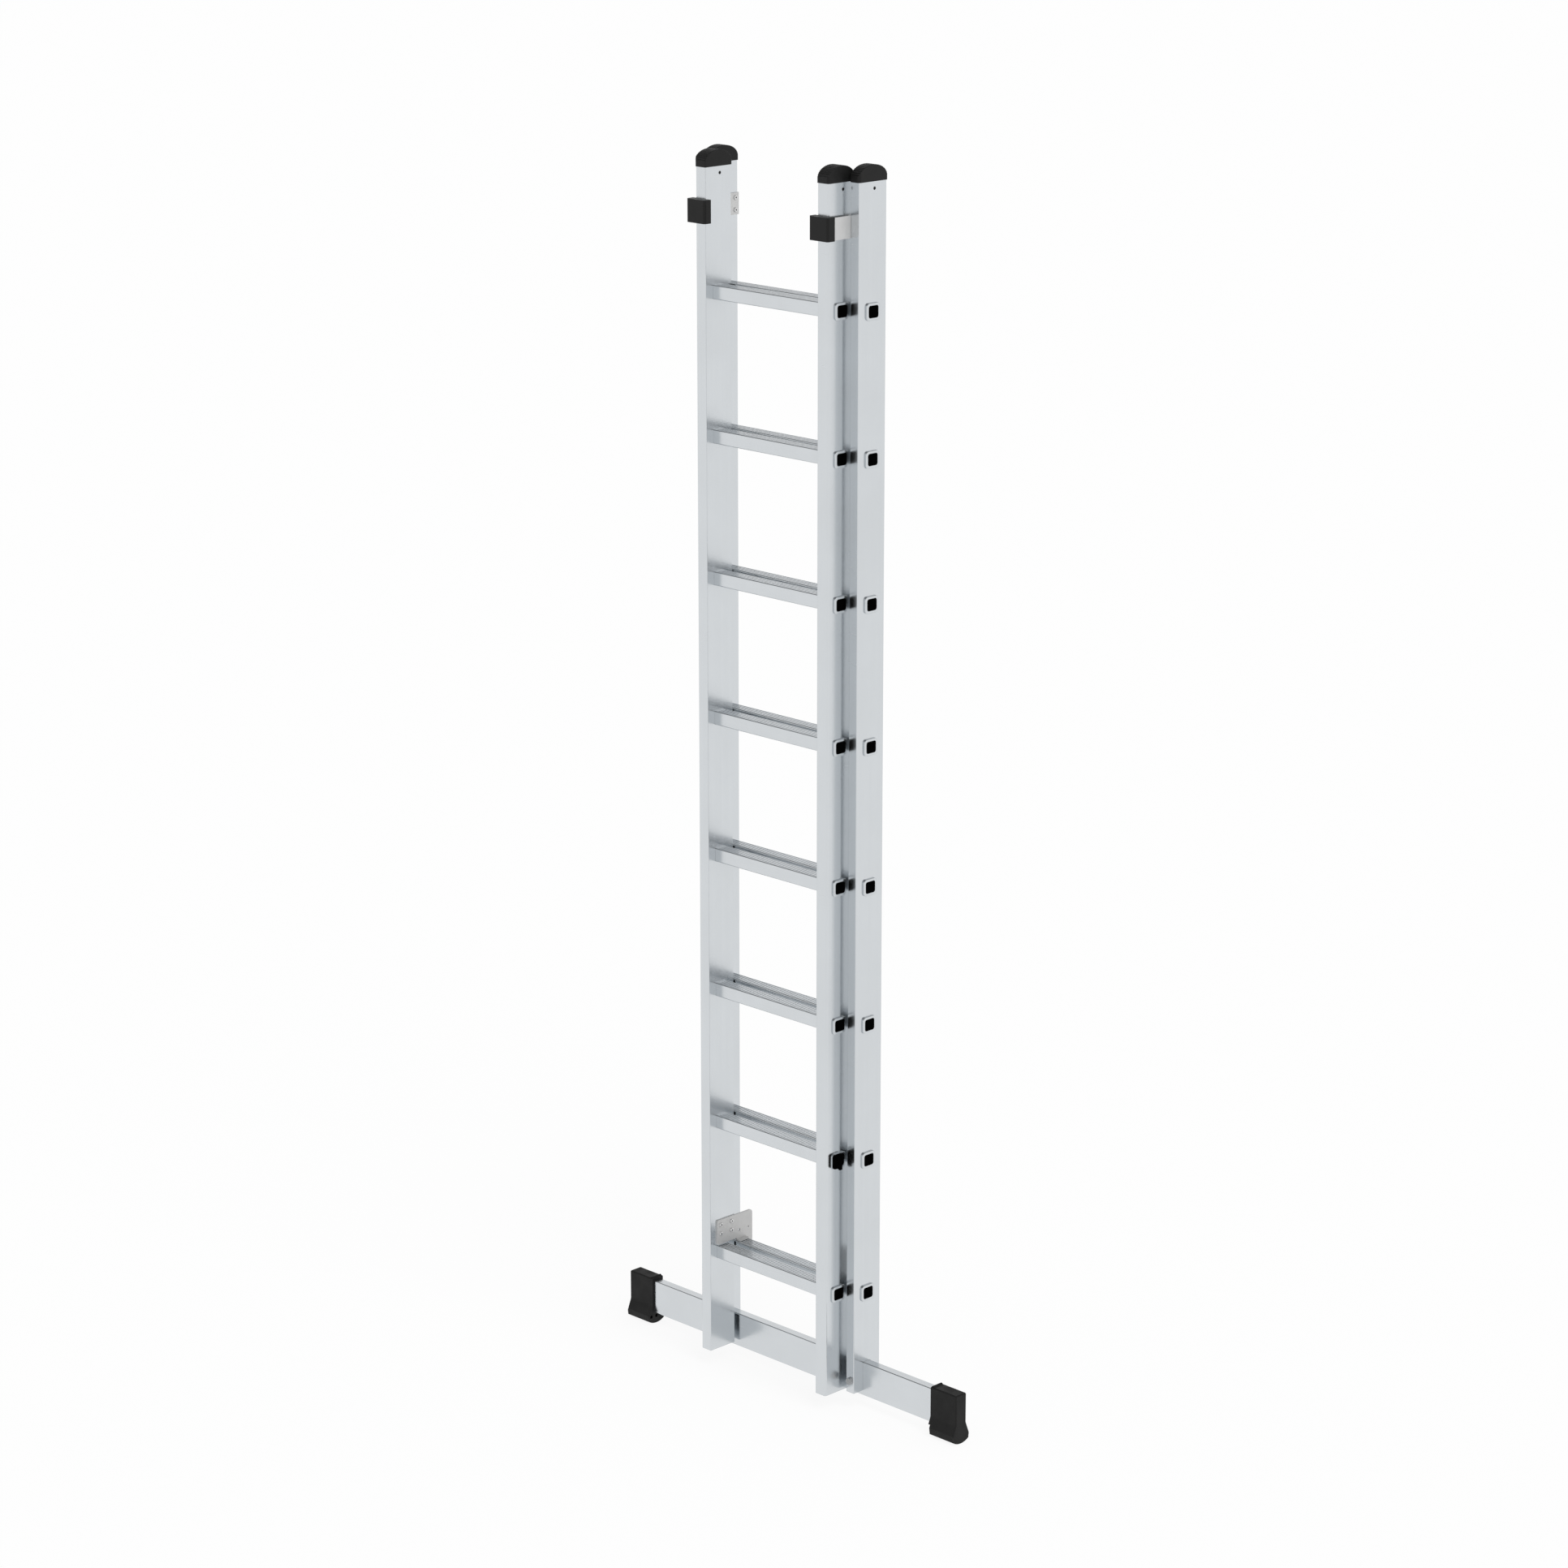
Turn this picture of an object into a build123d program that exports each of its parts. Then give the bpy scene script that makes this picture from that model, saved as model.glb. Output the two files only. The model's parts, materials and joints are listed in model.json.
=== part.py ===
from build123d import *
import os

# Two-part push-up extension ladder, sizes in millimetres.
# X runs along the rungs, Y from the front to the rear, Z up from the ground.
# The origin is on the ground, under the middle of the base crossbar.

# Rungs of both sections
rung_count = 8
rung_pitch = 280.0
rung_depth = 30.0
rung_height = 27.5
rung_wall = 2.0
rung_corner_radius = 3.0
tread_groove_count = 4
tread_groove_width = 2.6
tread_groove_depth = 0.8
tread_margin = 5.0
collar_reach = 3.5
collar_flare = 3.0
collar_edge_radius = 1.2
mouth_corner_radius = 4.5
rung_hole_clearance = 0.05
plug_length = 14.0
plug_recess = 1.0
plug_clearance = 0.05

# Stiles, hollow box sections
upper_clear_width = 299.0
upper_stile_width = 27.5
upper_stile_depth = 68.0
upper_edge_radius = 5.0
lower_stile_width = 21.0
lower_stile_depth = 73.0
plain_edge_radius = 1.2
stile_wall = 2.2
slide_gap = 10.0
rung_gap = 2.6
lower_rung_rise = 207.2
upper_rung_rise = 210.2
stile_top_reach = 242.3

# Base crossbar, its bolts and its feet
sole_height = 26.0
stile_foot_rise = 10.8
crossbar_length = 916.0
crossbar_depth = 21.0
crossbar_height = 71.0
crossbar_wall = 2.0
crossbar_corner_radius = 2.5
crossbar_clearance = 0.1
bolt_diameter = 8.0
bolt_hole_clearance = 0.2
bolt_head_flats = 13.0
bolt_head_height = 5.3
nut_height = 6.5
bolt_tail = 2.5
nut_clearance = 0.05
foot_sleeve_length = 61.0
foot_end_wall = 7.0
foot_side_wall = 4.5
foot_top_wall = 6.0
foot_edge_radius = 3.0
foot_flare = 8.3
flare_top_height = 41.0
flare_tip_height = 20.0
flare_blend_radius = 14.0
sole_taper = 1.8
sole_setback = 4.5
sole_corner_height = 6.5
bead_radius = 4.0
bead_rise = 2.5
sole_hole_count = 3
sole_hole_diameter = 7.5
sole_hole_spacing = 14.5
sole_hole_depth = 40.0
sole_hole_height = 15.5

# Stile caps
cap_overhang = 1.1
cap_lip = 9.0
cap_rise = 22.4
cap_edge_radius = 1.2
cap_corner_radius = 6.0
cap_groove_count = 20
cap_groove_radius = 1.1
cap_plug_length = 26.0
cap_plug_wall = 2.0
cap_plug_clearance = 0.1
snap_hole_diameter = 6.3
snap_hole_drop = 13.0
snap_hole_offset = 4.4
snap_nub_clearance = 0.3
snap_nub_recess = 1.4

# Guide brackets at the top of the lower section, and their plastic shoes
strap_thickness = 3.0
strap_height = 42.0
strap_bend_radius = 2.5
strap_drop = 82.8
strap_flange_length = 17.0
strap_front_gap = 3.5
strap_lip_gap = 4.5
shoe_height = 45.0
shoe_skin = 1.2
shoe_front_wall = 6.5
shoe_lip_wall = 3.6
shoe_running_gap = 1.0
shoe_side_overlap = 5.5
shoe_lip_overlap = 4.0
shoe_edge_radius = 5.0
bracket_rivet_spacing = 23.8
bracket_rivet_setback = 8.5

# Glide pads on the top rung of the lower section
pad_length = 28.0
pad_height = 26.0
pad_thickness = 2.2
pad_corner_radius = 5.0
pad_inboard_reach = 10.0

# Hook plates riveted inside the upper stiles
plate_thickness = 3.0
plate_front_setback = 17.2
plate_height = 52.0
plate_rung_gap = 2.7
plate_corner_radius = 8.0
plate_front_radius = 2.0
hook_seat_gap = 0.25
hook_leg_gap = 1.5
hook_leg_width = 14.0
hook_leg_drop = 26.0
hook_tab_width = 9.0
hook_tab_length = 27.0
tether_hole_diameter = 5.5
tether_hole_rise = 16.3
tether_hole_setback = 6.6
pilot_hole_diameter = 3.0
pilot_hole_setback = 11.0
hook_rivet_setback = 10.0
hook_rivet_drop = 10.5
hook_rivet_spacing_y = 30.0
hook_rivet_spacing_z = 19.5

# Blind rivets
rivet_shank_diameter = 4.8
rivet_head_diameter = 9.0
rivet_head_height = 2.4
rivet_tail_diameter = 6.4
rivet_tail_length = 4.0
rivet_clearance = 0.05
mandrel_hole_diameter = 3.2
mandrel_hole_depth = 1.8

# Pull-out stops on the second rung of the upper section
stop_rung = 2
stop_head_depth = 29.0
stop_head_height = 29.0
stop_head_length = 4.5
stop_head_forward = 5.1
stop_head_rise = 1.5
stop_corner_radius = 5.0
stop_edge_radius = 0.8
stop_notch_depth = 5.0
stop_notch_height = 10.0
stop_tail_depth = 7.0
stop_tail_drop = 5.0

# Places worked out from the sizes above
upper_inner_x = upper_clear_width / 2
upper_outer_x = upper_inner_x + upper_stile_width
lower_inner_x = upper_outer_x + slide_gap
lower_outer_x = lower_inner_x + lower_stile_width
lower_mid_x = (lower_inner_x + lower_outer_x) / 2
lower_rear_y = lower_stile_depth / 2
upper_rear_y = -(rung_depth / 2 + rung_gap)
upper_front_y = upper_rear_y - upper_stile_depth
upper_mid_y = (upper_front_y + upper_rear_y) / 2
stile_bottom_z = sole_height + stile_foot_rise
rung_stack_height = (rung_count - 1) * rung_pitch
stile_length = lower_rung_rise + rung_stack_height + stile_top_reach
stile_top_z = stile_bottom_z + stile_length
lower_rung_z = [stile_bottom_z + lower_rung_rise + i * rung_pitch for i in range(rung_count)]
upper_rung_z = [stile_bottom_z + upper_rung_rise + i * rung_pitch for i in range(rung_count)]
crossbar_mid_z = sole_height + crossbar_height / 2
strap_mid_z = stile_top_z - strap_drop
strap_inner_x = lower_inner_x - strap_thickness
upper_collar_x = upper_outer_x + collar_reach
rung_bore_depth = rung_depth - 2 * rung_wall
rung_bore_height = rung_height - 2 * rung_wall
rung_bore_radius = rung_corner_radius - rung_wall


def bar_along_x(depth, height, radius, length):
    outline = Plane.YZ * RectangleRounded(depth, height, radius)
    return extrude(outline, length / 2, both=True)


def rod_along_x(diameter, length):
    return extrude(Plane.YZ * Circle(diameter / 2), length / 2, both=True)


def rod_along_y(diameter, length):
    return extrude(Plane.XZ * Circle(diameter / 2), length / 2, both=True)


def block(x_range, y_range, z_range):
    size = [high - low for low, high in (x_range, y_range, z_range)]
    middle = [(high + low) / 2 for low, high in (x_range, y_range, z_range)]
    return Pos(*middle) * Box(*size)


def left_of(shape):
    return mirror(shape, about=Plane.YZ)


# Rungs

def make_rung(clear_width, outer_width):
    end_x = outer_width / 2
    rung = bar_along_x(rung_depth, rung_height, rung_corner_radius, 2 * (end_x + collar_reach))
    collar = bar_along_x(
        rung_depth + 2 * collar_flare,
        rung_height + 2 * collar_flare,
        mouth_corner_radius + collar_flare,
        collar_reach,
    )
    collar = fillet(collar.faces().sort_by(Axis.X)[-1].edges(), collar_edge_radius)
    collar = Pos(end_x + collar_reach / 2, 0, 0) * collar
    rung = rung + collar + left_of(collar)
    bore = bar_along_x(rung_bore_depth, rung_bore_height, rung_bore_radius, 2 * end_x)
    mouth = bar_along_x(rung_bore_depth, rung_bore_height, mouth_corner_radius, 4 * end_x)
    groove_pitch = (rung_depth - 2 * rung_corner_radius) / tread_groove_count
    groove_length = clear_width - 2 * tread_margin
    for i in range(tread_groove_count):
        groove_y = (i - (tread_groove_count - 1) / 2) * groove_pitch
        groove = Box(groove_length, tread_groove_width, 2 * tread_groove_depth)
        rung = rung - Pos(0, groove_y, rung_height / 2) * groove
    return rung - bore - mouth


def make_plug(end_x, recess):
    plug = bar_along_x(
        rung_bore_depth - 2 * plug_clearance,
        rung_bore_height - 2 * plug_clearance,
        mouth_corner_radius,
        plug_length,
    )
    return Pos(end_x - recess - plug_length / 2, 0, 0) * plug


def make_stop_plug(collar_x):
    head = bar_along_x(stop_head_depth, stop_head_height, stop_corner_radius, stop_head_length)
    head = fillet(head.faces().sort_by(Axis.X)[-1].edges(), stop_edge_radius)
    notch = Box(2 * stop_head_length, 2 * stop_notch_depth, 2 * stop_notch_height)
    head = head - Pos(0, stop_head_depth / 2, -stop_head_height / 2) * notch
    tail_rear_y = stop_head_depth / 2 - stop_notch_depth
    head = head + block(
        (-stop_head_length / 2, stop_head_length / 2),
        (tail_rear_y - stop_tail_depth, tail_rear_y),
        (-stop_head_height / 2 - stop_tail_drop, 0),
    )
    head = Pos(collar_x + stop_head_length / 2, -stop_head_forward, stop_head_rise) * head
    return head + make_plug(collar_x, 0.0)


# Stiles

def make_stile_tube(width, depth, outer_radius):
    profile = Rectangle(width, depth)
    profile = fillet(profile.vertices().group_by(Axis.X)[-1], outer_radius)
    profile = fillet(profile.vertices().group_by(Axis.X)[0], plain_edge_radius)
    bore = Rectangle(width - 2 * stile_wall, depth - 2 * stile_wall)
    return extrude(profile - bore, stile_length)


def cut_rung_and_snap_holes(stile, mid_x, mid_y, width, rung_heights):
    for z in rung_heights:
        hole = bar_along_x(
            rung_depth + 2 * rung_hole_clearance,
            rung_height + 2 * rung_hole_clearance,
            rung_corner_radius + rung_hole_clearance,
            2 * width,
        )
        stile = stile - Pos(mid_x, mid_y, z) * hole
    snap_hole = rod_along_x(snap_hole_diameter, 2 * width)
    return stile - Pos(mid_x, mid_y + snap_hole_offset, stile_top_z - snap_hole_drop) * snap_hole


def make_lower_stile():
    stile = make_stile_tube(lower_stile_width, lower_stile_depth, plain_edge_radius)
    stile = Pos(lower_mid_x, 0, stile_bottom_z) * stile
    stile = cut_rung_and_snap_holes(stile, lower_mid_x, 0, lower_stile_width, lower_rung_z)
    slot_depth = crossbar_depth + 2 * crossbar_clearance
    slot_top = sole_height + crossbar_height + crossbar_clearance
    stile = stile - block(
        (lower_inner_x - slide_gap, lower_outer_x + slide_gap),
        (-slot_depth / 2, slot_depth / 2),
        (0, slot_top),
    )
    bolt_hole = rod_along_y(bolt_diameter + 2 * bolt_hole_clearance, 2 * lower_stile_depth)
    stile = stile - Pos(lower_mid_x, 0, crossbar_mid_z) * bolt_hole
    rivet_hole = rod_along_x(rivet_shank_diameter + 2 * rivet_clearance, 2 * stile_wall)
    for place in bracket_rivet_places():
        stile = stile - Pos(lower_inner_x, *place) * rivet_hole
    return stile


def make_upper_stile():
    mid_x = (upper_inner_x + upper_outer_x) / 2
    stile = make_stile_tube(upper_stile_width, upper_stile_depth, upper_edge_radius)
    stile = Pos(mid_x, upper_mid_y, stile_bottom_z) * stile
    stile = cut_rung_and_snap_holes(stile, mid_x, upper_mid_y, upper_stile_width, upper_rung_z)
    rivet_hole = rod_along_x(rivet_shank_diameter + 2 * rivet_clearance, 2 * stile_wall)
    for place in hook_rivet_places():
        stile = stile - Pos(upper_inner_x, *place) * rivet_hole
    return stile


def make_cap(mid_x, mid_y, width, depth):
    half_depth = depth / 2 + cap_overhang
    half_width = width / 2 + cap_overhang
    arch = EllipticalCenterArc((0, cap_lip), half_depth, cap_rise, start_angle=0, arc_size=180)
    outline = [
        Line((-half_depth, 0), (half_depth, 0)),
        Line((half_depth, 0), (half_depth, cap_lip)),
        arch,
        Line((-half_depth, cap_lip), (-half_depth, 0)),
    ]
    cap = extrude(Plane.YZ * make_face(outline), half_width, both=True)
    arch_edges = cap.edges().filter_by(GeomType.ELLIPSE)
    cap = fillet(arch_edges, cap_edge_radius)
    plan = Rectangle(2 * half_width, 2 * half_depth)
    plan = fillet([v for v in plan.vertices() if v.X > 0 and v.Y < 0], cap_corner_radius)
    plan = fillet([v for v in plan.vertices() if v.X < 0 or v.Y > 0], cap_edge_radius)
    cap = cap & extrude(plan, cap_lip + cap_rise)
    groove_pitch = arch.length / (cap_groove_count + 1)
    for i in range(cap_groove_count):
        spot = arch.position_at((i + 1) * groove_pitch, position_mode=PositionMode.LENGTH)
        cap = cap - Pos(0, spot.X, spot.Y) * rod_along_x(2 * cap_groove_radius, 3 * half_width)
    plug_width = width - 2 * (stile_wall + cap_plug_clearance)
    plug_depth = depth - 2 * (stile_wall + cap_plug_clearance)
    plug = Box(plug_width, plug_depth, cap_plug_length)
    plug = plug - Box(plug_width - 2 * cap_plug_wall, plug_depth - 2 * cap_plug_wall, cap_plug_length)
    cap = cap + Pos(0, 0, -cap_plug_length / 2) * plug
    nub_end = width / 2 - snap_nub_recess
    nub = rod_along_x(snap_hole_diameter - 2 * snap_nub_clearance, 2 * nub_end)
    nub = nub - Box(plug_width - cap_plug_wall, depth, cap_plug_length)
    cap = cap + Pos(0, snap_hole_offset, -snap_hole_drop) * nub
    return Pos(mid_x, mid_y, stile_top_z) * cap


# Base

def make_crossbar():
    bar = bar_along_x(crossbar_depth, crossbar_height, crossbar_corner_radius, crossbar_length)
    bore = Box(2 * crossbar_length, crossbar_depth - 2 * crossbar_wall, crossbar_height - 2 * crossbar_wall)
    bar = bar - bore
    bolt_hole = rod_along_y(bolt_diameter + 2 * bolt_hole_clearance, 2 * crossbar_depth)
    for x in (-lower_mid_x, lower_mid_x):
        bar = bar - Pos(x, 0, 0) * bolt_hole
    return Pos(0, 0, crossbar_mid_z) * bar


def make_foot():
    half_depth = crossbar_depth / 2 + foot_side_wall
    tip = half_depth + foot_flare
    sole = tip - sole_taper
    top_z = sole_height + crossbar_height + foot_top_wall
    outline = [
        Polyline((-sole, sole_corner_height), (-tip, flare_tip_height), (-half_depth, flare_top_height),
                 (-half_depth, top_z), (half_depth, top_z), (half_depth, flare_top_height),
                 (tip, flare_tip_height), (sole, sole_corner_height)),
        ThreePointArc((sole, sole_corner_height), (0, 0), (-sole, sole_corner_height)),
    ]
    profile = make_face(outline)
    waist = [v for v in profile.vertices() if abs(v.Y - flare_top_height) < 0.01]
    profile = fillet(waist, flare_blend_radius)
    end_x = crossbar_length / 2 + foot_end_wall
    mouth_x = crossbar_length / 2 - foot_sleeve_length
    foot = Pos(mouth_x, 0, 0) * extrude(Plane.YZ * profile, end_x - mouth_x)
    upright = [e for e in foot.edges().filter_by(Axis.Z) if e.center().X > end_x - 1]
    top_rim = [e for e in foot.edges().filter_by(Axis.X) if e.center().Z > top_z - 1]
    top_end = [e for e in foot.edges().filter_by(Axis.Y)
               if e.center().Z > top_z - 1 and e.center().X > end_x - 1]
    foot = fillet(upright + top_rim + top_end, foot_edge_radius)
    bead = rod_along_y(2 * bead_radius, 2 * (half_depth - foot_edge_radius))
    foot = foot + Pos(mouth_x + bead_radius, 0, top_z + bead_rise - bead_radius) * bead
    pocket = bar_along_x(
        crossbar_depth + 2 * crossbar_clearance,
        crossbar_height + 2 * crossbar_clearance,
        crossbar_corner_radius,
        crossbar_length,
    )
    foot = foot - Pos(0, 0, crossbar_mid_z) * pocket
    foot = foot - block((mouth_x, mouth_x + sole_setback), (-tip, tip), (-sole_height, sole_height))
    for i in range(sole_hole_count):
        y = (i - (sole_hole_count - 1) / 2) * sole_hole_spacing
        hole = rod_along_x(sole_hole_diameter, 2 * sole_hole_depth)
        foot = foot - Pos(mouth_x + sole_setback, y, sole_hole_height) * hole
    return foot


def make_crossbar_bolt():
    head = extrude(RegularPolygon(bolt_head_flats / 2, 6, major_radius=False), bolt_head_height)
    shank = Cylinder(bolt_diameter / 2, lower_stile_depth + nut_height + bolt_tail,
                     align=(Align.CENTER, Align.CENTER, Align.MAX))
    bolt = head + shank
    return Pos(lower_mid_x, -lower_rear_y, crossbar_mid_z) * Rot(90, 0, 0) * bolt


def make_crossbar_nut():
    hexagon = RegularPolygon(bolt_head_flats / 2, 6, major_radius=False)
    nut = extrude(hexagon - Circle(bolt_diameter / 2 + nut_clearance), nut_height)
    return Pos(lower_mid_x, lower_rear_y + nut_height, crossbar_mid_z) * Rot(90, 0, 0) * nut


# Guide brackets and glide pads

def bracket_rivet_places():
    y = lower_rear_y - bracket_rivet_setback
    half = bracket_rivet_spacing / 2
    return [(y, strap_mid_z - half), (y, strap_mid_z + half)]


def make_guide_bracket():
    half = strap_thickness / 2
    rear_y = lower_rear_y + half
    side_x = lower_inner_x - half
    front_y = upper_front_y - strap_front_gap - half
    lip_x = upper_inner_x - strap_lip_gap - half
    path = FilletPolyline(
        (lower_inner_x + strap_flange_length, rear_y),
        (side_x, rear_y),
        (side_x, front_y),
        (lip_x, front_y),
        (lip_x, upper_front_y),
        radius=strap_bend_radius,
    )
    strap = extrude(trace(path, strap_thickness), strap_height)
    strap = Pos(0, 0, strap_mid_z - strap_height / 2) * strap
    rivet_hole = rod_along_x(rivet_shank_diameter + 2 * rivet_clearance, 3 * strap_thickness)
    for place in bracket_rivet_places():
        strap = strap - Pos(strap_inner_x, *place) * rivet_hole
    return strap


def make_bracket_shoe(strap):
    outer_x = lower_inner_x + shoe_skin
    lip_x = upper_inner_x - strap_lip_gap - strap_thickness - shoe_lip_wall
    front_y = upper_front_y - strap_front_gap - strap_thickness - shoe_front_wall
    side_rear_y = upper_front_y + shoe_side_overlap
    lip_rear_y = upper_front_y + shoe_lip_overlap
    z_range = (strap_mid_z - shoe_height / 2, strap_mid_z + shoe_height / 2)
    shoe = block((lip_x, outer_x), (front_y, side_rear_y), z_range)
    front_edges = [e for e in shoe.edges().filter_by(Axis.Z) if e.center().Y < front_y + 1]
    shoe = fillet(front_edges, shoe_edge_radius)
    stile_room = block(
        (upper_inner_x - shoe_running_gap, upper_outer_x + shoe_running_gap),
        (upper_front_y - shoe_running_gap, 0),
        (0, 2 * stile_top_z),
    )
    short_lip = block((0, upper_inner_x), (lip_rear_y, 0), (0, 2 * stile_top_z))
    return shoe - stile_room - short_lip - strap


def make_glide_pad():
    outline = RectangleRounded(pad_length, pad_height, pad_corner_radius)
    pad = extrude(Plane.XZ * outline, pad_thickness)
    outer_rim = pad.faces().sort_by(Axis.Y)[0].edges()
    pad = fillet(outer_rim, pad_thickness / 2)
    x = upper_inner_x - pad_inboard_reach + pad_length / 2
    return Pos(x, -rung_depth / 2, lower_rung_z[-1]) * pad


# Hook plates

def hook_plate_bottom():
    return upper_rung_z[0] + rung_height / 2 + plate_rung_gap


def hook_rivet_places():
    y = upper_front_y + plate_front_setback + hook_rivet_setback
    z = hook_plate_bottom() + plate_height - hook_rivet_drop
    return [(y + i * hook_rivet_spacing_y, z - j * hook_rivet_spacing_z) for i in (0, 1) for j in (0, 1)]


def make_hook_plate():
    bottom = hook_plate_bottom()
    top = bottom + plate_height
    front = upper_front_y + plate_front_setback
    seat = lower_rung_z[0] + rung_height / 2 + hook_seat_gap
    leg_front = rung_depth / 2 + hook_leg_gap
    leg_rear = leg_front + hook_leg_width
    leg_bottom = seat - hook_leg_drop
    tab_front = -hook_tab_length / 2
    outline = Polyline(
        (front, bottom), (tab_front, bottom), (tab_front, seat), (leg_front, seat), (leg_front, leg_bottom),
        (leg_rear, leg_bottom), (leg_rear, top), (front, top), close=True,
    )
    profile = make_face(outline)
    front_corners = [v for v in profile.vertices() if v.X < front + 1]
    profile = fillet(front_corners, plate_front_radius)
    rear_corner = [v for v in profile.vertices() if v.Y > top - 1 and v.X > leg_front]
    profile = fillet(rear_corner, plate_corner_radius)
    leg_ends = [v for v in profile.vertices() if v.Y < leg_bottom + 1]
    profile = fillet(leg_ends, hook_leg_width / 3)
    inner_x = upper_inner_x - plate_thickness
    plate = Pos(inner_x, 0, 0) * extrude(Plane.YZ * profile, plate_thickness)
    tab = block(
        (inner_x - hook_tab_width, inner_x + plate_thickness),
        (tab_front, tab_front + hook_tab_length),
        (seat, seat + plate_thickness),
    )
    tab_corners = [e for e in tab.edges().filter_by(Axis.Z) if e.center().X < inner_x - 1]
    plate = plate + fillet(tab_corners, plate_thickness)
    rivet_hole = rod_along_x(rivet_shank_diameter + 2 * rivet_clearance, 4 * plate_thickness)
    for place in hook_rivet_places():
        plate = plate - Pos(inner_x, *place) * rivet_hole
    hole_z = bottom + tether_hole_rise
    tether_hole = rod_along_x(tether_hole_diameter, 4 * plate_thickness)
    plate = plate - Pos(inner_x, -tether_hole_setback, hole_z) * tether_hole
    pilot_hole = rod_along_x(pilot_hole_diameter, 4 * plate_thickness)
    return plate - Pos(inner_x, leg_rear - pilot_hole_setback, hole_z) * pilot_hole


def make_rivet(grip):
    # The head lies on the -X side, the tail closes on the far side of the grip.
    head = rod_along_x(rivet_head_diameter, rivet_head_height)
    head = fillet(head.edges().sort_by(Axis.X)[0], rivet_head_height * 0.6)
    rivet = Pos(-rivet_head_height / 2, 0, 0) * head
    rivet = rivet + Pos(grip / 2, 0, 0) * rod_along_x(rivet_shank_diameter, grip)
    tail = rod_along_x(rivet_tail_diameter, rivet_tail_length)
    rivet = rivet + Pos(grip + rivet_tail_length / 2, 0, 0) * tail
    return rivet - Pos(-rivet_head_height, 0, 0) * rod_along_x(mandrel_hole_diameter, 2 * mandrel_hole_depth)


def both_sides(shapes):
    return Compound([solid for shape in shapes for solid in (left_of(shape).solid(), shape.solid())])


# Writing the pieces

os.makedirs("parts", exist_ok=True)


def save(name, shape):
    export_step(shape, f"parts/{name}.step")


def save_pair(name, right):
    save(f"{name}_right", right)
    save(f"{name}_left", left_of(right))


lower_rung = make_rung(2 * lower_inner_x, 2 * lower_outer_x)
upper_rung = make_rung(upper_clear_width, 2 * upper_outer_x)
lower_plug = make_plug(lower_outer_x + collar_reach, plug_recess)
upper_plug = make_plug(upper_collar_x, plug_recess)
lower_plugs = []
upper_plugs = []
for number in range(1, rung_count + 1):
    lower_place = Pos(0, 0, lower_rung_z[number - 1])
    upper_place = Pos(0, upper_mid_y, upper_rung_z[number - 1])
    save(f"lower_rung_{number}", lower_place * lower_rung)
    save(f"upper_rung_{number}", upper_place * upper_rung)
    lower_plugs.append(lower_place * lower_plug)
    if number == stop_rung:
        save_pair("stop_plug", upper_place * make_stop_plug(upper_collar_x))
    else:
        upper_plugs.append(upper_place * upper_plug)
save("lower_rung_plugs", both_sides(lower_plugs))
save("upper_rung_plugs", both_sides(upper_plugs))

save_pair("lower_stile", make_lower_stile())
save_pair("upper_stile", make_upper_stile())
save_pair("lower_cap", make_cap(lower_mid_x, 0, lower_stile_width, lower_stile_depth))
upper_mid_x = (upper_inner_x + upper_outer_x) / 2
save_pair("upper_cap", make_cap(upper_mid_x, upper_mid_y, upper_stile_width, upper_stile_depth))

save("crossbar", make_crossbar())
save_pair("foot", make_foot())
save("crossbar_bolts", both_sides([make_crossbar_bolt()]))
save("crossbar_nuts", both_sides([make_crossbar_nut()]))

bracket = make_guide_bracket()
save_pair("guide_bracket", bracket)
save_pair("bracket_shoe", make_bracket_shoe(bracket))
bracket_rivet = make_rivet(strap_thickness + stile_wall)
save("bracket_rivets", both_sides([Pos(strap_inner_x, *p) * bracket_rivet for p in bracket_rivet_places()]))
save_pair("glide_pad", make_glide_pad())

save_pair("hook_plate", make_hook_plate())
hook_rivet = make_rivet(plate_thickness + stile_wall)
plate_inner_x = upper_inner_x - plate_thickness
save("hook_rivets", both_sides([Pos(plate_inner_x, *p) * hook_rivet for p in hook_rivet_places()]))
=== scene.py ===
import json
import math

import bpy
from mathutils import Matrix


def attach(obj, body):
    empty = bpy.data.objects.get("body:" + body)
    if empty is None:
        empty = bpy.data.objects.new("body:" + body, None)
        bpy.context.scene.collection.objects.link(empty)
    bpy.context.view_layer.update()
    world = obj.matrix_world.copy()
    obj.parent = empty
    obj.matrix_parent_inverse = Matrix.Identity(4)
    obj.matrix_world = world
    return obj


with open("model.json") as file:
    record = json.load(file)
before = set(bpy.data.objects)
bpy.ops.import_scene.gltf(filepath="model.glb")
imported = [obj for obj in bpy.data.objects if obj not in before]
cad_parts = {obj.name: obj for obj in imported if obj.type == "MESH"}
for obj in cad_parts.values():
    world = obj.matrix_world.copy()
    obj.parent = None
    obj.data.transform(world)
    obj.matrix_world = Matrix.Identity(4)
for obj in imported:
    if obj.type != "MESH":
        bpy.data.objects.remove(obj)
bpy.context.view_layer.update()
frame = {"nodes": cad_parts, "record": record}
cadNodes = frame["nodes"]
print("frame loaded:", len(cadNodes), "nodes")


# Shader node groups, built once and placed in each finish

def startGroup(name, inputs, outputs):
    tree = bpy.data.node_groups.new(name, "ShaderNodeTree")
    for label, kind, value in inputs:
        socket = tree.interface.new_socket(label, in_out="INPUT", socket_type=kind)
        if value is not None:
            socket.default_value = value
    for label, kind in outputs:
        tree.interface.new_socket(label, in_out="OUTPUT", socket_type=kind)
    groupIn = tree.nodes.new("NodeGroupInput")
    groupOut = tree.nodes.new("NodeGroupOutput")
    return tree, groupIn.outputs, groupOut.inputs


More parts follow.
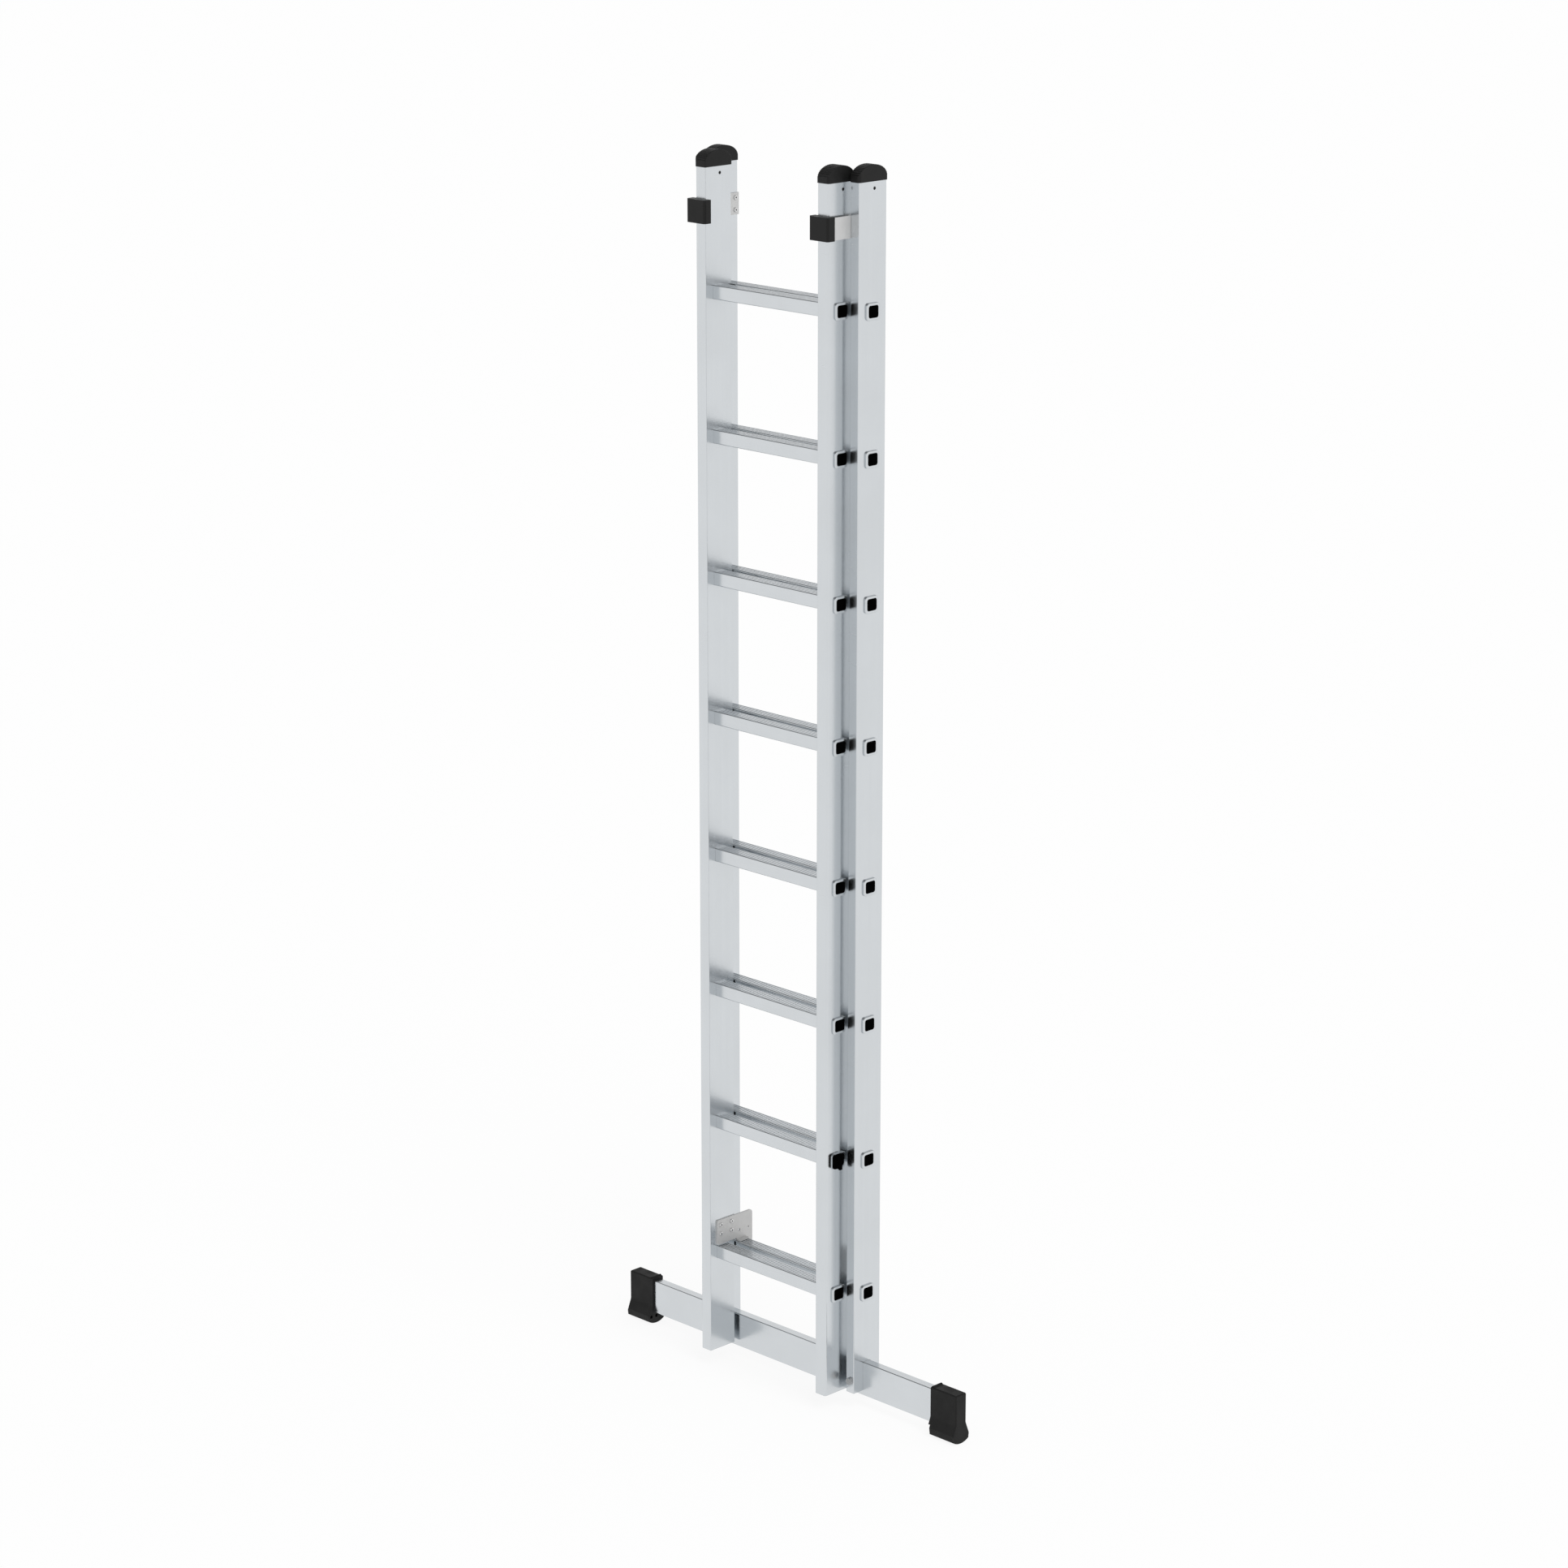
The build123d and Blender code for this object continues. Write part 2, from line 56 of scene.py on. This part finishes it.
def addNoise(tree, vector, scale, detail, roughness=0.5):
    noise = tree.nodes.new("ShaderNodeTexNoise")
    noise.inputs["Detail"].default_value = detail
    noise.inputs["Roughness"].default_value = roughness
    tree.links.new(vector, noise.inputs["Vector"])
    setOrLink(tree, scale, noise.inputs["Scale"])
    return noise.outputs["Fac"]


def setOrLink(tree, source, target):
    if isinstance(source, bpy.types.NodeSocket):
        tree.links.new(source, target)
    else:
        target.default_value = source


def addMath(tree, operation, first, second, clamp=False):
    node = tree.nodes.new("ShaderNodeMath")
    node.operation = operation
    node.use_clamp = clamp
    setOrLink(tree, first, node.inputs[0])
    setOrLink(tree, second, node.inputs[1])
    return node.outputs[0]


def addRange(tree, value, fromLow, fromHigh, toLow, toHigh):
    node = tree.nodes.new("ShaderNodeMapRange")
    limits = {"From Min": fromLow, "From Max": fromHigh, "To Min": toLow, "To Max": toHigh}
    for label, number in limits.items():
        setOrLink(tree, number, node.inputs[label])
    tree.links.new(value, node.inputs["Value"])
    return node.outputs["Result"]


def addShare(tree, value, share):
    return addMath(tree, "MULTIPLY", value, share)


def addStretch(tree, vector, scale):
    node = tree.nodes.new("ShaderNodeMapping")
    node.inputs["Scale"].default_value = scale
    tree.links.new(vector, node.inputs["Vector"])
    return node.outputs["Vector"]


drawnPattern = {
    "fineScale": 900.0, "fineDetail": 3.0, "fineRoughness": 0.6, "fineShare": 0.6,
    "broadScale": 140.0, "broadDetail": 2.0, "broadShare": 0.4,
}


def makeDrawnLinesGroup():
    # die lines of an extrusion: the vector comes in stretched along the drawing direction
    tree, given, out = startGroup(
        "drawnLines",
        [("Vector", "NodeSocketVector", None), ("Fineness", "NodeSocketFloat", 1.0)],
        [("Lines", "NodeSocketFloat"), ("Broad", "NodeSocketFloat")],
    )
    look = drawnPattern
    fineScale = addShare(tree, given["Fineness"], look["fineScale"])
    broadScale = addShare(tree, given["Fineness"], look["broadScale"])
    fine = addNoise(tree, given["Vector"], fineScale, look["fineDetail"], look["fineRoughness"])
    broad = addNoise(tree, given["Vector"], broadScale, look["broadDetail"])
    fineShare = addShare(tree, fine, look["fineShare"])
    lines = addMath(tree, "ADD", fineShare, addShare(tree, broad, look["broadShare"]))
    tree.links.new(lines, out["Lines"])
    tree.links.new(broad, out["Broad"])
    return tree


handlingPattern = {
    "smudgeDetail": 5.0, "smudgeRoughness": 0.62, "smudgeRange": (0.38, 0.66),
    "streakTurn": (0.5, 0.9, 0.3), "streakStretch": (12.0, 700.0, 700.0),
    "streakScale": 1.0, "streakDetail": 1.0, "streakRange": (0.70, 0.76),
    "whereScale": 14.0, "whereDetail": 2.0, "whereRange": (0.55, 0.65),
}


def makeHandlingGroup():
    # smudges where hands and storage have dulled the metal, and short fine scratches
    tree, given, out = startGroup(
        "handlingMarks",
        [("Vector", "NodeSocketVector", None), ("Patch Size", "NodeSocketFloat", 9.0)],
        [("Smudge", "NodeSocketFloat"), ("Scratch", "NodeSocketFloat")],
    )
    look = handlingPattern
    smudge = addNoise(
        tree, given["Vector"], given["Patch Size"], look["smudgeDetail"], look["smudgeRoughness"],
    )
    smudge = addRange(tree, smudge, *look["smudgeRange"], 0.0, 1.0)
    turned = tree.nodes.new("ShaderNodeMapping")
    turned.inputs["Rotation"].default_value = look["streakTurn"]
    turned.inputs["Scale"].default_value = look["streakStretch"]
    tree.links.new(given["Vector"], turned.inputs["Vector"])
    streak = addNoise(tree, turned.outputs["Vector"], look["streakScale"], look["streakDetail"])
    streak = addRange(tree, streak, *look["streakRange"], 0.0, 1.0)
    where = addNoise(tree, given["Vector"], look["whereScale"], look["whereDetail"])
    where = addRange(tree, where, *look["whereRange"], 0.0, 1.0)
    tree.links.new(smudge, out["Smudge"])
    tree.links.new(addMath(tree, "MULTIPLY", streak, where), out["Scratch"])
    return tree


edgePattern = {
    "bevelSamples": 4, "edgeFrom": 0.995, "edgeFull": 0.86,
    "patchScale": 160.0, "patchDetail": 4.0, "patchRoughness": 0.65, "patchRange": (0.25, 0.50),
}


def makeEdgeWearAndShadeGroup():
    # edges, where a rounded normal leaves the true one, broken up by noise: real wear where a finish
    # lightens them, painted shade where it darkens them
    tree, given, out = startGroup(
        "edgeWearAndShade",
        [("Vector", "NodeSocketVector", None), ("Width", "NodeSocketFloat", 0.0015)],
        [("WearAndShade", "NodeSocketFloat")],
    )
    look = edgePattern
    bevel = tree.nodes.new("ShaderNodeBevel")
    bevel.samples = look["bevelSamples"]
    tree.links.new(given["Width"], bevel.inputs["Radius"])
    surface = tree.nodes.new("ShaderNodeNewGeometry")
    dot = tree.nodes.new("ShaderNodeVectorMath")
    dot.operation = "DOT_PRODUCT"
    tree.links.new(bevel.outputs["Normal"], dot.inputs[0])
    tree.links.new(surface.outputs["Normal"], dot.inputs[1])
    edge = addRange(tree, dot.outputs["Value"], look["edgeFrom"], look["edgeFull"], 0.0, 1.0)
    patches = addNoise(
        tree, given["Vector"], look["patchScale"], look["patchDetail"], look["patchRoughness"],
    )
    patches = addRange(tree, patches, *look["patchRange"], 0.0, 1.0)
    tree.links.new(addMath(tree, "MULTIPLY", edge, patches), out["WearAndShade"])
    return tree


grainPattern = {
    "grainDetail": 2.0, "sheenScale": 38.0, "sheenDetail": 3.0, "sheenRoughness": 0.6,
    "sheenRange": (0.35, 0.65),
}


def makeMouldGrainGroup():
    # spark-eroded grain of a plastic mould, with slow changes in sheen
    tree, given, out = startGroup(
        "mouldGrain",
        [("Vector", "NodeSocketVector", None), ("Grain", "NodeSocketFloat", 1800.0)],
        [("Height", "NodeSocketFloat"), ("Sheen", "NodeSocketFloat")],
    )
    look = grainPattern
    grain = addNoise(tree, given["Vector"], given["Grain"], look["grainDetail"])
    sheen = addNoise(
        tree, given["Vector"], look["sheenScale"], look["sheenDetail"], look["sheenRoughness"],
    )
    tree.links.new(grain, out["Height"])
    tree.links.new(addRange(tree, sheen, *look["sheenRange"], 0.0, 1.0), out["Sheen"])
    return tree


drawnLines = makeDrawnLinesGroup()
handlingMarks = makeHandlingGroup()
edgeWearAndShade = makeEdgeWearAndShadeGroup()
mouldGrain = makeMouldGrainGroup()
print("shader groups ready")


# Finishes

def startMaterial(name):
    material = bpy.data.materials.new(name)
    material.use_nodes = True
    tree = material.node_tree
    shader = tree.nodes["Principled BSDF"]
    place = tree.nodes.new("ShaderNodeTexCoord").outputs["Object"]
    return material, tree, shader, place


def addGroup(tree, group, vector, **values):
    node = tree.nodes.new("ShaderNodeGroup")
    node.node_tree = group
    tree.links.new(vector, node.inputs["Vector"])
    for label, value in values.items():
        node.inputs[label.replace("_", " ")].default_value = value
    return node.outputs


def addColourMix(tree, factor, first, second):
    node = tree.nodes.new("ShaderNodeMix")
    node.data_type = "RGBA"
    tree.links.new(factor, node.inputs["Factor"])
    setOrLink(tree, first, node.inputs["A"])
    setOrLink(tree, second, node.inputs["B"])
    return node.outputs["Result"]


def addBump(tree, shader, height, strength, distance):
    bump = tree.nodes.new("ShaderNodeBump")
    bump.inputs["Strength"].default_value = strength
    bump.inputs["Distance"].default_value = distance
    tree.links.new(height, bump.inputs["Height"])
    tree.links.new(bump.outputs["Normal"], shader.inputs["Normal"])


# how much each mark changes the colour and the roughness
metalShares = {
    "smudgeColour": 0.30, "edgeColourShare": 0.8, "smudgeRough": 0.03, "scratchRough": 0.12,
    "lineRange": (0.3, 0.7), "lineHeight": 0.0003,
}
plasticShares = {"scratchColour": 0.5, "edgeColourShare": 0.7, "wearRough": 0.1, "grainHeight": 0.0002}


def makeDrawnMetal(name, look):
    material, tree, shader, place = startMaterial(name)
    shader.inputs["Metallic"].default_value = look["metallic"]
    shares = metalShares
    drawn = addStretch(tree, place, look["stretch"])
    lines = addGroup(tree, drawnLines, drawn, Fineness=look["fineness"])
    marks = addGroup(tree, handlingMarks, place, Patch_Size=look["patchSize"])
    edgeMask = addGroup(tree, edgeWearAndShade, place, Width=look["edgeWidth"])
    colour = addColourMix(tree, lines["Broad"], look["dark"], look["light"])
    smudged = addShare(tree, marks["Smudge"], shares["smudgeColour"])
    colour = addColourMix(tree, smudged, colour, look["dulled"])
    # edge colour: real wear on bolts and mandrels; painted shade and painted reflection lines along
    # the edges of the aluminium and plates; a painted shadow ring round the rivet heads
    edgeAmount = addShare(tree, edgeMask["WearAndShade"], shares["edgeColourShare"])
    colour = addColourMix(tree, edgeAmount, colour, look["edge"])
    rough = addRange(tree, lines["Lines"], *shares["lineRange"], look["roughLow"], look["roughHigh"])
    rough = addMath(tree, "ADD", rough, addShare(tree, marks["Smudge"], shares["smudgeRough"]))
    scratched = addShare(tree, marks["Scratch"], shares["scratchRough"])
    rough = addMath(tree, "ADD", rough, scratched, True)
    tree.links.new(colour, shader.inputs["Base Color"])
    tree.links.new(rough, shader.inputs["Roughness"])
    addBump(tree, shader, lines["Lines"], look["lineDepth"], shares["lineHeight"])
    return material


def makeMouldedPlastic(name, look):
    material, tree, shader, place = startMaterial(name)
    shader.inputs["Specular IOR Level"].default_value = look["specular"]
    shares = plasticShares
    grain = addGroup(tree, mouldGrain, place, Grain=look["grain"])
    marks = addGroup(tree, handlingMarks, place, Patch_Size=look["patchSize"])
    edgeMask = addGroup(tree, edgeWearAndShade, place, Width=look["edgeWidth"])
    colour = addColourMix(tree, grain["Sheen"], look["dark"], look["light"])
    scratched = addShare(tree, marks["Scratch"], shares["scratchColour"])
    colour = addColourMix(tree, scratched, colour, look["scuffed"])
    edgeAmount = addShare(tree, edgeMask["WearAndShade"], shares["edgeColourShare"])
    colour = addColourMix(tree, edgeAmount, colour, look["scuffed"])
    rough = addRange(tree, grain["Sheen"], 0.0, 1.0, look["roughLow"], look["roughHigh"])
    rough = addMath(tree, "ADD", rough, addShare(tree, edgeMask["WearAndShade"], shares["wearRough"]), True)
    tree.links.new(colour, shader.inputs["Base Color"])
    tree.links.new(rough, shader.inputs["Roughness"])
    addBump(tree, shader, grain["Height"], look["grainDepth"], shares["grainHeight"])
    return material


alongStile = (1.0, 1.0, 0.004)
alongRung = (0.004, 1.0, 1.0)
allRound = (1.0, 1.0, 1.0)

# the edge colour is darker than the metal: painted shade and painted reflection lines along the
# edges, shared with rungs and crossbar
stileLook = {
    "stretch": alongStile, "fineness": 1.0, "patchSize": 7.0, "edgeWidth": 0.0016, "metallic": 1.0,
    "dark": (0.640, 0.667, 0.689, 1), "light": (0.675, 0.702, 0.723, 1),
    "dulled": (0.612, 0.634, 0.652, 1), "edge": (0.46, 0.48, 0.50, 1),
    "roughLow": 0.18, "roughHigh": 0.25, "lineDepth": 0.03,
}
rungLook = dict(
    stileLook, stretch=alongRung, patchSize=16.0, edgeWidth=0.0030, roughLow=0.18, roughHigh=0.26,
)
crossbarLook = dict(stileLook, stretch=alongRung, patchSize=8.0, edgeWidth=0.0026)
# the edge colour is darker than the plate: painted shade along the plate edges
plateLook = {
    "stretch": allRound, "fineness": 0.35, "patchSize": 40.0, "edgeWidth": 0.0008, "metallic": 0.5,
    "dark": (0.606, 0.605, 0.601, 1), "light": (0.664, 0.663, 0.659, 1),
    "dulled": (0.577, 0.576, 0.572, 1), "edge": (0.54, 0.54, 0.535, 1),
    "roughLow": 0.40, "roughHigh": 0.50, "lineDepth": 0.04,
}
boltLook = dict(
    plateLook, dark=(0.42, 0.42, 0.42, 1), light=(0.50, 0.50, 0.50, 1),
    dulled=(0.38, 0.38, 0.38, 1), edge=(0.56, 0.56, 0.56, 1),
    roughLow=0.20, roughHigh=0.32, metallic=1.0,
)
# the dark edge colour paints a shadow ring round the rim of each rivet head
rivetLook = dict(
    plateLook, dark=(0.72, 0.72, 0.72, 1), light=(0.78, 0.78, 0.78, 1), edgeWidth=0.0012,
    dulled=(0.68, 0.68, 0.68, 1), edge=(0.30, 0.30, 0.30, 1),
    roughLow=0.28, roughHigh=0.38, metallic=0.8,
)
# near-black colour: painted shade in the rivet holes, darker than the steel of a real mandrel
mandrelShadeLook = dict(
    plateLook, dark=(0.012, 0.012, 0.012, 1), light=(0.020, 0.020, 0.020, 1),
    dulled=(0.012, 0.011, 0.010, 1), edge=(0.03, 0.03, 0.03, 1), roughLow=0.45, roughHigh=0.60,
)
capLook = {
    "grain": 1700.0, "patchSize": 30.0, "edgeWidth": 0.001, "specular": 0.22,
    "dark": (0.0065, 0.0065, 0.0065, 1), "light": (0.0095, 0.0095, 0.0093, 1),
    "scuffed": (0.030, 0.030, 0.031, 1),
    "roughLow": 0.40, "roughHigh": 0.54, "grainDepth": 0.15,
}
shoeLook = dict(capLook, roughLow=0.38, roughHigh=0.52)
# no gloss and near-zero colour: the black plastic plugs are painted as shade in the rung mouths
plugShadeLook = dict(
    capLook, dark=(0.0008, 0.0008, 0.0008, 1), light=(0.0015, 0.0015, 0.0015, 1),
    scuffed=(0.003, 0.003, 0.003, 1), specular=0.0,
)
footLook = dict(
    capLook, grain=1100.0, roughLow=0.50, roughHigh=0.68, grainDepth=0.22,
    dark=(0.0070, 0.0070, 0.0069, 1), light=(0.0105, 0.0105, 0.0103, 1),
    scuffed=(0.040, 0.039, 0.037, 1),
)

finishes = {
    "stile_aluminium": makeDrawnMetal("stileAluminium", stileLook),
    "rung_aluminium": makeDrawnMetal("rungAluminium", rungLook),
    "crossbar_aluminium": makeDrawnMetal("crossbarAluminium", crossbarLook),
    "plated_steel": makeDrawnMetal("platedSteel", plateLook),
    "bolt_steel": makeDrawnMetal("boltSteel", boltLook),
    "rivet_aluminium": makeDrawnMetal("rivetAluminium", rivetLook),
    "mandrel_steel": makeDrawnMetal("mandrelSteelShade", mandrelShadeLook),
    "cap_plastic": makeMouldedPlastic("capPlastic", capLook),
    "shoe_plastic": makeMouldedPlastic("shoePlastic", shoeLook),
    "plug_plastic": makeMouldedPlastic("plugPlasticShade", plugShadeLook),
    "foot_rubber": makeMouldedPlastic("footRubber", footLook),
}

for entry in frame["record"]["subparts"]:
    piece = cadNodes[entry["node"]]
    piece.data.materials.clear()
    piece.data.materials.append(finishes[entry["material_slot"]])


# Broken-off steel mandrels left in the rivet heads, coloured near-black as painted shade in the holes

mandrel = {
    "diameter": 0.0031, "length": 0.0010, "recess": 0.0006, "rimBevel": 0.00012,
    "neckInset": 0.00045, "neckDepth": 0.00025, "nibInset": 0.0004, "nibHeight": 0.0003,
    "headDiameter": 0.009, "sides": 24, "rimSegments": 2, "smoothAngle": 40, "endFacing": 0.9,
}


def twoMiddles(values, inset):
    # one value where both ends of the row meet in the same head
    return sorted({round(min(values) + inset, 5), round(max(values) - inset, 5)})


def rivetPlaces(node):
    # each head's middle, from the box round the rivets and the plane of their faces
    spots = [node.matrix_world @ vertex.co for vertex in node.data.vertices]
    inset = mandrel["headDiameter"] / 2
    faceX = min(abs(spot.x) for spot in spots)
    columns = twoMiddles([spot.y for spot in spots], inset)
    rows = twoMiddles([spot.z for spot in spots], inset)
    return [(side * faceX, side, y, z) for side in (-1, 1) for y in columns for z in rows]


def makeMandrel():
    # one pin along X, each end torn off at a dished neck with a small nib in the middle
    bpy.ops.object.select_all(action="DESELECT")
    bpy.ops.mesh.primitive_cylinder_add(
        vertices=mandrel["sides"], radius=mandrel["diameter"] / 2, depth=mandrel["length"],
        rotation=(0, math.pi / 2, 0),
    )
    pin = bpy.context.active_object
    bpy.ops.object.transform_apply(location=False, rotation=True, scale=False)
    bpy.ops.object.mode_set(mode="EDIT")
    bpy.ops.mesh.select_mode(type="FACE")
    bpy.ops.mesh.select_all(action="DESELECT")
    bpy.ops.object.mode_set(mode="OBJECT")
    for face in pin.data.polygons:
        face.select = abs(face.normal.x) > mandrel["endFacing"]
    bpy.ops.object.mode_set(mode="EDIT")
    bpy.ops.mesh.inset(thickness=mandrel["neckInset"], depth=-mandrel["neckDepth"])
    bpy.ops.mesh.inset(thickness=mandrel["nibInset"], depth=mandrel["nibHeight"])
    bpy.ops.object.mode_set(mode="OBJECT")
    rim = pin.modifiers.new("rim", "BEVEL")
    rim.width = mandrel["rimBevel"]
    rim.segments = mandrel["rimSegments"]
    rim.limit_method = "ANGLE"
    bpy.ops.object.modifier_apply(modifier=rim.name)
    bpy.ops.object.shade_smooth_by_angle(angle=math.radians(mandrel["smoothAngle"]))
    return pin


def makeMandrels(name, rivets, body):
    pin = makeMandrel()
    pins = []
    for faceX, side, y, z in rivetPlaces(rivets):
        copy = pin.copy()
        copy.data = pin.data.copy()
        bpy.context.scene.collection.objects.link(copy)
        copy.location = (faceX + side * (mandrel["recess"] + mandrel["length"] / 2), y, z)
        pins.append(copy)
    bpy.data.objects.remove(pin)
    bpy.ops.object.select_all(action="DESELECT")
    for copy in pins:
        copy.select_set(True)
    bpy.context.view_layer.objects.active = pins[0]
    bpy.ops.object.join()
    bpy.ops.object.transform_apply(location=True, rotation=True, scale=True)
    mandrels = bpy.context.active_object
    mandrels.name = name
    mandrels.data.name = name
    mandrels.data.materials.append(finishes["mandrel_steel"])
    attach(mandrels, body)


makeMandrels("hookMandrels", cadNodes["hook_rivets"], "upper_section")
makeMandrels("bracketMandrels", cadNodes["bracket_rivets"], "lower_section")
print("mandrels in place")


# Floor, light and camera

studio = {
    "floorSize": 60.0, "floorColour": (0.92, 0.92, 0.92, 1), "floorGlow": 0.90,
    "worldLight": 0.60, "backdrop": 1.0, "ceiling": 0.25, "wallTop": 0.40, "ceilingEdge": 0.66,
    "sunTurn": 75.0, "sunTilt": 38.0, "sunPower": 1.5, "sunSpread": 35.0,
}


def addSeenRays(tree):
    # 1 for rays from the camera, from gloss and through glass, 0 for rays that light the object
    path = tree.nodes.new("ShaderNodeLightPath")
    seen = addMath(tree, "MAXIMUM", path.outputs["Is Camera Ray"], path.outputs["Is Glossy Ray"])
    return addMath(tree, "MAXIMUM", seen, path.outputs["Is Transmission Ray"])


def makeFloor():
    bpy.ops.object.select_all(action="DESELECT")
    bpy.ops.mesh.primitive_plane_add(size=studio["floorSize"])
    floor = bpy.context.active_object
    floor.name = "studioFloor"
    material = bpy.data.materials.new("studioFloor")
    material.use_nodes = True
    tree = material.node_tree
    tree.nodes.remove(tree.nodes["Principled BSDF"])
    paint = tree.nodes.new("ShaderNodeBsdfDiffuse")
    paint.inputs["Color"].default_value = studio["floorColour"]
    glow = tree.nodes.new("ShaderNodeEmission")
    mix = tree.nodes.new("ShaderNodeMixShader")
    share = addMath(tree, "MULTIPLY", addSeenRays(tree), studio["floorGlow"])
    tree.links.new(share, mix.inputs["Fac"])
    tree.links.new(paint.outputs["BSDF"], mix.inputs[1])
    tree.links.new(glow.outputs["Emission"], mix.inputs[2])
    tree.links.new(mix.outputs["Shader"], tree.nodes["Material Output"].inputs["Surface"])
    floor.data.materials.append(material)


def makeWorld():
    world = bpy.data.worlds.new("studioWorld")
    bpy.context.scene.world = world
    world.use_nodes = True
    tree = world.node_tree
    background = tree.nodes["Background"]
    background.inputs["Color"].default_value = (1, 1, 1, 1)
    # the walls are white and the ceiling is dim, which draws the upper edges of the metal
    direction = tree.nodes.new("ShaderNodeTexCoord").outputs["Generated"]
    height = tree.nodes.new("ShaderNodeSeparateXYZ")
    tree.links.new(direction, height.inputs["Vector"])
    seen = addRange(
        tree, height.outputs["Z"],
        studio["wallTop"], studio["ceilingEdge"], studio["backdrop"], studio["ceiling"],
    )
    strength = addRange(tree, addSeenRays(tree), 0.0, 1.0, studio["worldLight"], seen)
    tree.links.new(strength, background.inputs["Strength"])


def makeSun():
    # soft light from the upper right, left out of the metal's reflections
    sun = bpy.data.lights.new("studioSun", "SUN")
    sun.energy = studio["sunPower"]
    sun.angle = math.radians(studio["sunSpread"])
    thing = bpy.data.objects.new("studioSun", sun)
    bpy.context.scene.collection.objects.link(thing)
    thing.rotation_euler = (math.radians(studio["sunTilt"]), 0, math.radians(studio["sunTurn"]))
    thing.visible_glossy = False


# the photograph's view, found from the stile edges and the rung spacing
view = {
    "place": (5.7830, -5.8157, 3.5375), "turn": 44.959, "down": 15.59, "lens": 100.04, "sensor": 36.0,
}


def makeCamera():
    camera = bpy.data.cameras.new("photoView")
    camera.lens = view["lens"]
    camera.sensor_width = view["sensor"]
    thing = bpy.data.objects.new("photoView", camera)
    bpy.context.scene.collection.objects.link(thing)
    thing.location = view["place"]
    thing.rotation_euler = (math.radians(90 - view["down"]), 0, math.radians(view["turn"]))
    bpy.context.scene.camera = thing


makeFloor()
makeWorld()
makeSun()
makeCamera()
bpy.context.scene.view_settings.view_transform = "Standard"
print("studio ready")
